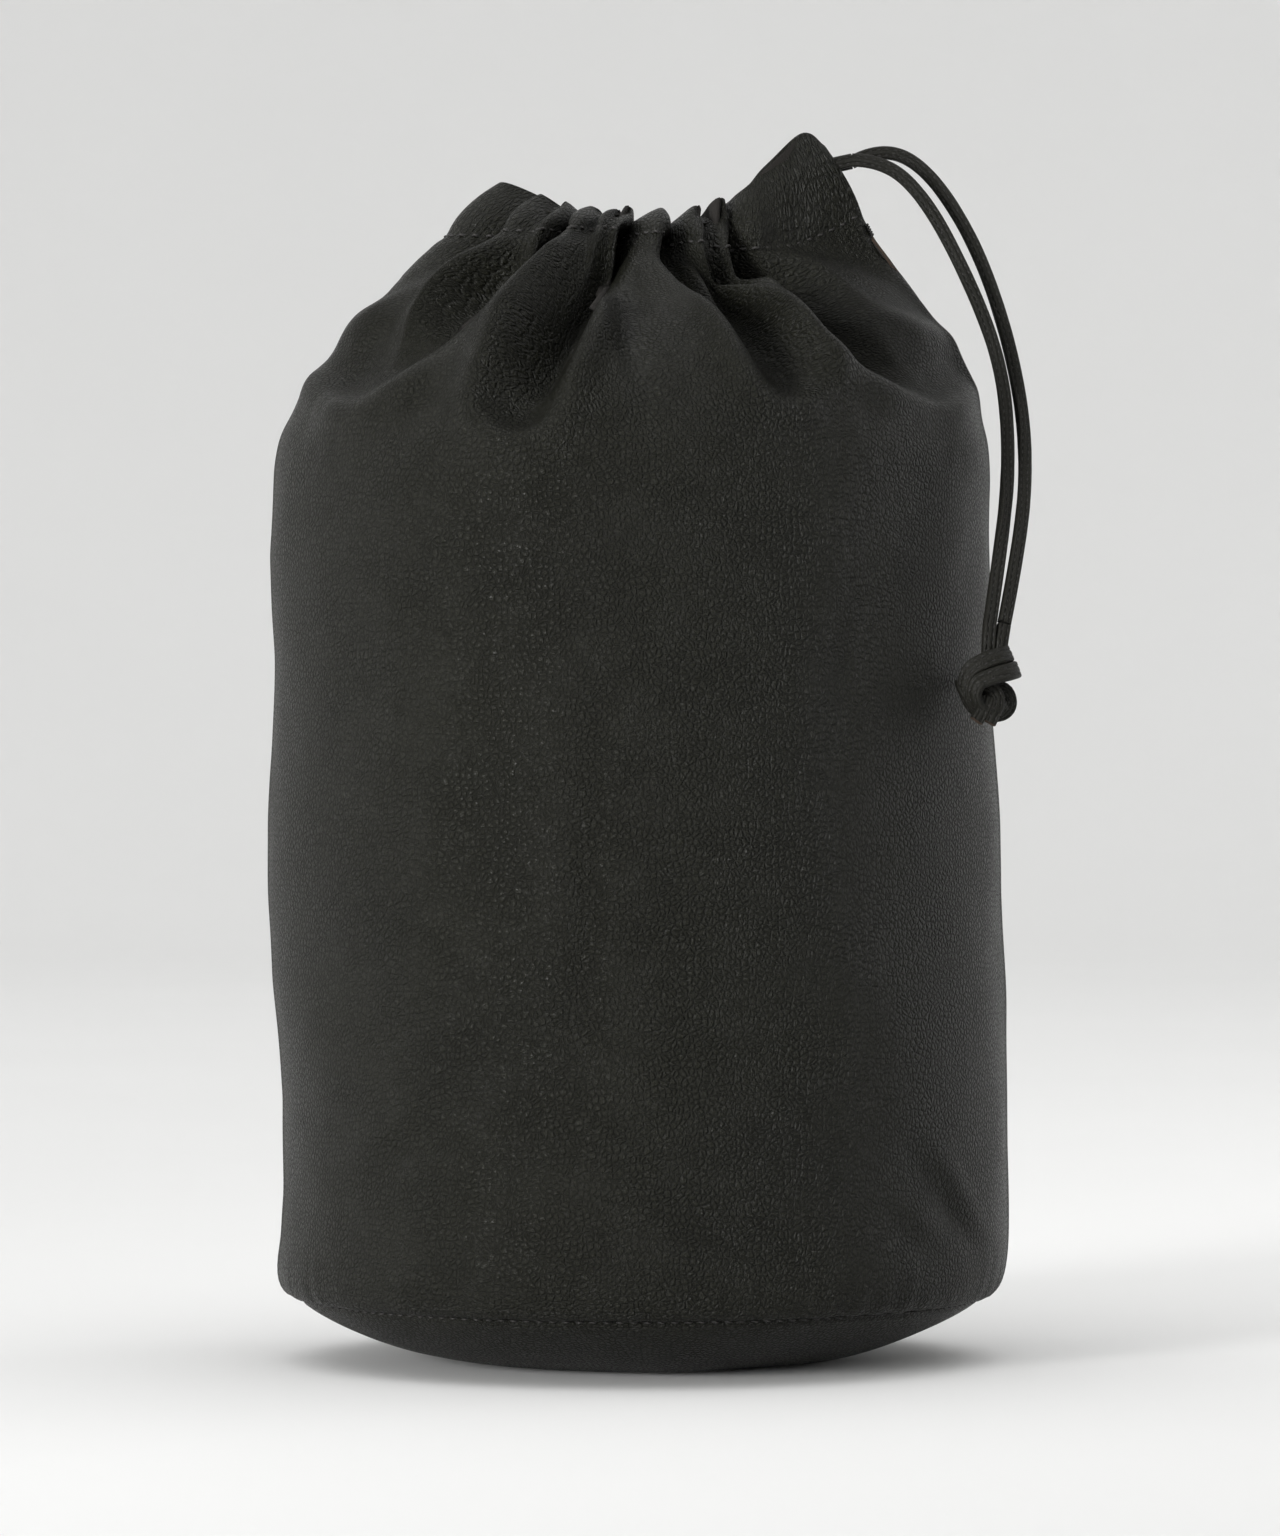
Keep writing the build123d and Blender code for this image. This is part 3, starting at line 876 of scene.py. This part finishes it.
knot_piece = knot_laces()

loop_halves = []
for side in (-1, 1):
    casing = halves[side][STITCH_ROW:]
    mid = (casing[CASING_ROWS // 2] + casing[-4]) / 2
    loop_halves.append(mid[3:-1])
loop_path = np.vstack([loop_halves[0], loop_halves[1][::-1]])
loop_path = averaged(loop_path, 7, mode="edge")
shapes = Shapes()
outwards = unit(loop_path - loop_path.mean(axis=0)) * LEVEL
lace_shape(shapes, loop_path, outwards, np.zeros(len(loop_path)), size=0.62, thinness=0.55, stitched=False)
loop_piece = shapes.build("lace_in_casing")

# ---------- base
BASE_PROFILE = (  # radius and height from the middle to the rolled seam
    (0.0, 1.0), (12.0, 0.7), (24.0, 0.3), (33.0, 0.05), (42.0, 0.9), (50.0, 2.6), (57.0, 4.9),
    (63.0, 7.4), (67.5, 9.6), (70.6, 11.4), (72.4, 12.7), (73.0, 13.4), (72.6, 14.0), (71.4, 14.6),
    (69.8, 15.2),
)


def base_sheet():
    """The dished base with its rolled seam edge, slightly uneven."""
    turns = 200
    profile = curve_through([(r, 0.0, z) for r, z in BASE_PROFILE], 46)
    vertices = [(0.0, 0.0, profile[0, 2])]
    uv = [(0.0, 0.0)]
    flat = arc_length(profile)
    for ring in range(1, len(profile)):
        for k in range(turns):
            turn = 2 * math.pi * k / turns
            radius, height = profile[ring, 0], profile[ring, 2]
            place = Vector((radius * math.cos(turn), radius * math.sin(turn), 3.0))
            sag = 0.5 * noise.noise(place / 24.0) * float(smooth(radius, 34.0, 46.0))
            ruck = 0.3 * noise.noise(Vector((turn * radius / 3.2, 0.0, 5.0)))
            ruck *= float(smooth(radius, 60.0, 71.0))
            height = max(0.02, height + sag + ruck * 0.6)
            radius += ruck * 0.8
            vertices.append((radius * math.cos(turn), radius * math.sin(turn), height))
            uv.append((flat[ring] * math.cos(turn), flat[ring] * math.sin(turn)))
    faces = [(0, 1 + (k + 1) % turns, 1 + k) for k in range(turns)]
    return new_object("base_leather", vertices, faces + ring_faces(len(profile) - 1, turns, 1), uv)


base_piece = base_sheet()
thickened(base_piece)

# ---------- stitches
CASING_PITCH = 3.1
SEAM_PITCH = 2.8


def stitches_along(shapes, line, outward, pitch, length, radius, across=None):
    """A row of stitches along a line on the leather; across turns them over a seam."""
    along = arc_length(line)
    tangent = unit(np.gradient(line, axis=0))
    for at in np.arange(pitch / 2, along[-1] - pitch / 3, pitch):
        here, ahead, out = (read_at(at, along, values) for values in (line, tangent, outward))
        direction = ahead if across is None else unit(np.cross(out, ahead) + ahead * across)
        stitch_shape(shapes, here + out * radius * 0.35, direction, unit(out), length, radius, 0)


stitch_pieces = {}
for side, name in ((-1, "front_casing_stitches"), (1, "back_casing_stitches")):
    grid = halves[side]
    outward = outward_of(grid, side)
    shapes = Shapes()
    stitches_along(shapes, grid[STITCH_ROW, 1:-1], outward[STITCH_ROW, 1:-1], CASING_PITCH, 2.0, 0.32)
    stitch_pieces[name] = shapes.build(name)
for column, name in ((0, "right_seam_stitches"), (-1, "left_seam_stitches")):
    line = halves[-1][3 : STITCH_ROW - 3, column].copy()
    line[:, 1] = 0.0
    out = np.zeros_like(line)
    out[:, 0] = 1.0 if column == 0 else -1.0
    shapes = Shapes()
    stitches_along(shapes, line - out * 0.55, out, SEAM_PITCH, 1.5, 0.24, across=0.35)
    stitch_pieces[name] = shapes.build(name)
turn = np.linspace(0.0, 2 * math.pi, 400)
ring = np.stack([73.05 * np.cos(turn), 73.05 * np.sin(turn), np.full(400, 13.68)], axis=1)
shapes = Shapes()
stitches_along(shapes, ring, unit(ring * LEVEL - [0.0, 0.0, 40.0]), SEAM_PITCH, 1.7, 0.26)
stitch_pieces["base_seam_stitches"] = shapes.build("base_seam_stitches")
shapes = Shapes()
under_slit = slice(STITCH_ROW - 3, STITCH_ROW - 1)
slit_foot = (halves[-1][under_slit, 0] + halves[1][under_slit, 0]) / 2
slit_line = unit(slit_foot[1] - slit_foot[0])
over_slit = unit(np.array([0.75, 0.0, 0.66]))
for k in range(5):
    middle = slit_foot[1] - slit_line * (0.3 + 0.6 * k) - np.array([0.15, 0.0, 0.0])
    stitch_shape(shapes, middle, np.array([0.0, 1.0, 0.0]), over_slit, 3.4, 0.30, 0, arch=1.1)
stitch_pieces["slit_tack"] = shapes.build("slit_tack")


# ---------- materials
def connect(tree, made, inputs):
    """Sets or links a shader node's inputs."""
    for key, value in inputs.items():
        if isinstance(value, bpy.types.NodeSocket):
            tree.links.new(value, made.inputs[key])
        else:
            made.inputs[key].default_value = value


def node(tree, kind, inputs, **settings):
    """The outputs of a new shader node with the given settings and inputs."""
    made = tree.nodes.new("ShaderNode" + kind)
    for key, value in settings.items():
        setattr(made, key, value)
    connect(tree, made, inputs)
    return made.outputs


def ramp(tree, value, low, high, low_out, high_out):
    """Maps a value between two limits to two results, smoothly."""
    limits = {"Value": value, "From Min": low, "From Max": high, "To Min": low_out, "To Max": high_out}
    return node(tree, "MapRange", limits, interpolation_type="SMOOTHSTEP")["Result"]


def maths(tree, operation, first, second):
    """The result of a maths node."""
    return node(tree, "Math", {0: first, 1: second}, operation=operation)[0]


def summed(tree, first, first_share, second, second_share):
    """The sum of two values, each multiplied by its share."""
    first = maths(tree, "MULTIPLY", first, first_share)
    return maths(tree, "ADD", first, maths(tree, "MULTIPLY", second, second_share))


def stretched(tree, coordinates, scale):
    """Coordinates scaled by a vector."""
    return node(tree, "VectorMath", {0: coordinates, 1: scale}, operation="MULTIPLY")[0]


def noise_of(tree, coordinates, scale, detail=3.0, roughness=0.5):
    """Value of a noise texture."""
    inputs = {"Vector": coordinates, "Scale": scale, "Detail": detail, "Roughness": roughness}
    return node(tree, "TexNoise", inputs)["Fac"]


def coloured(tree, factor, low, high):
    """A colour between two, by a factor."""
    return node(tree, "Mix", {0: factor, 6: (*low, 1.0), 7: (*high, 1.0)}, data_type="RGBA")[2]


def bumped(tree, height, distance, strength, **under):
    """A bump node's normal, over another normal where one is given."""
    inputs = {"Height": height, "Distance": distance, "Strength": strength, **under}
    return node(tree, "Bump", inputs)["Normal"]


def new_material(name):
    """A new node material, its node tree and the sheet coordinates in metres."""
    material = bpy.data.materials.new(name)
    material.use_nodes = True
    return material, material.node_tree, node(material.node_tree, "UVMap", {}, uv_map="sheet")[0]


def finished(material, colour, roughness, specular, **more):
    """The material with its shader's inputs set or linked."""
    inputs = {"Base Color": colour, "Roughness": roughness, "Specular IOR Level": specular, **more}
    connect(material.node_tree, material.node_tree.nodes["Principled BSDF"], inputs)
    return material


def grain_leather(name, cell, dark, light, depth, rough_low, rough_high):
    """Soft pebble-grained leather; cell is the size of a grain in metres."""
    material, tree, place = new_material(name)
    swirl = node(tree, "TexNoise", {"Vector": place, "Scale": 160.0, "Detail": 2.0})["Color"]
    drift = {0: swirl, 1: (cell * 1.6, cell * 1.6, 0.0), 2: place}
    shifted = node(tree, "VectorMath", drift, operation="MULTIPLY_ADD")[0]
    edges = {"voronoi_dimensions": "2D", "feature": "DISTANCE_TO_EDGE"}
    grains = []
    for scale in (1.0 / cell, 2.3 / cell):
        distance = node(tree, "TexVoronoi", {"Vector": shifted, "Scale": scale}, **edges)["Distance"]
        grains.append(ramp(tree, distance, 0.0, 0.34, 0.0, 1.0))
    broad = noise_of(tree, place, 26.0, 4.0)
    fine = noise_of(tree, place, 2600.0, 3.0, 0.65)
    patch = ramp(tree, noise_of(tree, place, 75.0, 3.0), 0.35, 0.65, 0.5, 1.0)
    height = summed(tree, grains[0], patch, grains[1], 0.32)
    height = summed(tree, height, 1.0, fine, 0.22)
    pucker = node(tree, "Attribute", {}, attribute_name="pucker")["Fac"]
    seam_lines = noise_of(tree, stretched(tree, place, (1.0, 0.22, 1.0)), 420.0, 2.0)
    pulled = maths(tree, "MULTIPLY", seam_lines, pucker)
    creases = noise_of(tree, stretched(tree, place, (0.8, 1.0, 1.0)), 190.0, 5.0, 0.6)
    normal = bumped(tree, pulled, 0.0011, 0.7)
    normal = bumped(tree, creases, 0.0005, 0.35, Normal=normal)
    normal = bumped(tree, height, depth, 0.85, Normal=normal)
    tone = summed(tree, grains[0], 0.55, broad, 0.6)
    gloss = summed(tree, grains[0], -0.5, broad, 0.9)
    roughness = ramp(tree, gloss, -0.4, 0.6, rough_low, rough_high)
    return finished(material, coloured(tree, tone, dark, light), roughness, 0.12, Normal=normal)


def fibre(name, low, high, scale, depth, roughness):
    """Matt fibrous leather, for its flesh side and its cut edges."""
    material, tree, place = new_material(name)
    nap = noise_of(tree, place, scale, 6.0, 0.7)
    patches = noise_of(tree, place, 60.0, 3.0)
    colour = coloured(tree, summed(tree, nap, 0.6, patches, 0.5), low, high)
    roughness = ramp(tree, nap, 0.3, 0.7, roughness - 0.1, roughness + 0.06)
    return finished(material, colour, roughness, 0.2, Normal=bumped(tree, nap, depth, 0.8))


def twisted_thread(name, low, high):
    """Waxed thread with the slanted lines of its twist."""
    material, tree, place = new_material(name)
    waves = {"Vector": place, "Scale": 520.0, "Distortion": 1.2}
    slant = node(tree, "TexWave", waves, bands_direction="DIAGONAL")["Fac"]
    fuzz = noise_of(tree, place, 3200.0, 3.0)
    colour = coloured(tree, maths(tree, "MULTIPLY", slant, fuzz), low, high)
    roughness = ramp(tree, fuzz, 0.3, 0.7, 0.5, 0.72)
    return finished(material, colour, roughness, 0.3, Normal=bumped(tree, slant, 0.00012, 0.7))


def studio_paper():
    """Plain pale paper with faint clouds."""
    material, tree, _ = new_material("studio_paper")
    place = node(tree, "TexCoord", {})["Object"]
    clouds = coloured(tree, noise_of(tree, place, 3.0, 4.0), (0.74, 0.74, 0.735), (0.77, 0.77, 0.765))
    return finished(material, clouds, 0.95, 0.1)


leather = grain_leather(
    "pebbled_black_leather", 0.00125, (0.0032, 0.0032, 0.0024), (0.0096, 0.0097, 0.0068), 0.00046, 0.25, 0.50
)
flesh = fibre("leather_flesh_side", (0.0050, 0.0046, 0.0042), (0.0150, 0.0130, 0.0112), 900.0, 0.0003, 0.86)
cut_edge = fibre("leather_cut_edge", (0.016, 0.0105, 0.0075), (0.062, 0.039, 0.025), 1500.0, 0.0002, 0.78)
lace_leather = grain_leather(
    "lace_leather", 0.0006, (0.0045, 0.0044, 0.0036), (0.0125, 0.0122, 0.0096), 0.00008, 0.38, 0.60
)
thread = twisted_thread("waxed_thread", (0.006, 0.0057, 0.0055), (0.040, 0.037, 0.034))
MATERIALS = {
    "body_leather": (leather, flesh, cut_edge),
    "lace_leather": (lace_leather, thread, cut_edge),
    "thread": (thread,),
}


# ---------- what each piece is in the frame
def dressed(piece, slot, *nodes):
    """Gives a piece the materials of one set and hides the CAD nodes that it stands in for."""
    for material in MATERIALS[slot]:
        piece.data.materials.append(material)
    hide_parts(*nodes)


dressed(leather_pieces[-1], "body_leather", "front_panel", "front_facing")
dressed(leather_pieces[1], "body_leather", "back_panel", "back_facing")
dressed(base_piece, "body_leather", "base_panel")
for name, piece in stitch_pieces.items():
    dressed(piece, "thread", name.removesuffix("_stitches") + "_thread")
dressed(loop_piece, "lace_leather", "lace_loop")
for piece in (*leather_pieces.values(), base_piece, *stitch_pieces.values(), loop_piece):
    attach(piece, "pouch")
for piece, lead_node in lead_pieces:
    dressed(piece, "lace_leather", lead_node)
    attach(piece, "lace_leads")
dressed(knot_piece, "lace_leather", "lace_knot", "lace_tip_front", "lace_tip_back")
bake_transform(knot_piece)
for name, strand_node, length, y in (
    ("lace_back", "lace_strand_back", STRAND_BACK_LENGTH, 0.0029),
    ("lace_front", "lace_strand_front", STRAND_FRONT_LENGTH, -0.0029),
):
    piece, path = strands[name]
    dressed(piece, "lace_leather", strand_node)
    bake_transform(piece)

# ---------- floor and light
def studio_floor():
    """A pale round floor that curves up into a backdrop on every side."""
    bend = [math.pi / 2 * step / 16 for step in range(1, 17)]
    profile = [(0.5 * step, 0.0) for step in range(7)]
    profile += [(3.0 + 1.2 * math.sin(turn), 1.2 - 1.2 * math.cos(turn)) for turn in bend] + [(4.2, 4.0)]
    turns = 96
    vertices = [(0.0, 0.0, 0.0)]
    for radius, height in profile[1:]:
        for k in range(turns):
            turn = 2 * math.pi * k / turns
            vertices.append((radius * math.cos(turn) / MM, radius * math.sin(turn) / MM, height / MM))
    faces = [(0, 1 + k, 1 + (k + 1) % turns) for k in range(turns)]
    faces += [face[::-1] for face in ring_faces(len(profile) - 1, turns, 1)]
    return new_object("studio_floor", vertices, faces, [(v[0], v[1]) for v in vertices])


floor = studio_floor()
floor.data.materials.append(studio_paper())

world = bpy.data.worlds.new("studio")
bpy.context.scene.world = world
world.use_nodes = True
sky = {"Color": (1.0, 1.0, 1.0, 1.0), "Strength": 1.34}
connect(world.node_tree, world.node_tree.nodes["Background"], sky)


def softbox(name, place, target, width, height, power, spread=180.0):
    """A rectangular soft light; a smaller spread, in degrees, keeps it off the floor."""
    lamp = bpy.data.lights.new(name, "AREA")
    lamp.shape = "RECTANGLE"
    lamp.size = width
    lamp.size_y = height
    lamp.energy = power
    lamp.spread = math.radians(spread)
    holder = linked(name, lamp)
    holder.location = place
    holder.rotation_euler = (Vector(target) - Vector(place)).to_track_quat("-Z", "Y").to_euler()


softbox("key", (-1.00, -1.25, 0.30), (0.0, 0.0, 0.15), 0.45, 0.6, 2.1, spread=34.0)
softbox("top", (0.1, -0.3, 1.9), (0.0, 0.0, 0.1), 1.4, 1.4, 1.0)
softbox("right_rim", (1.5, 0.9, 0.5), (0.0, 0.0, 0.10), 0.7, 1.4, 5.0)
softbox("left_rim", (-1.6, 0.9, 0.7), (0.0, 0.0, 0.13), 0.7, 1.4, 2.0)
bpy.context.scene.view_settings.view_transform = "Standard"
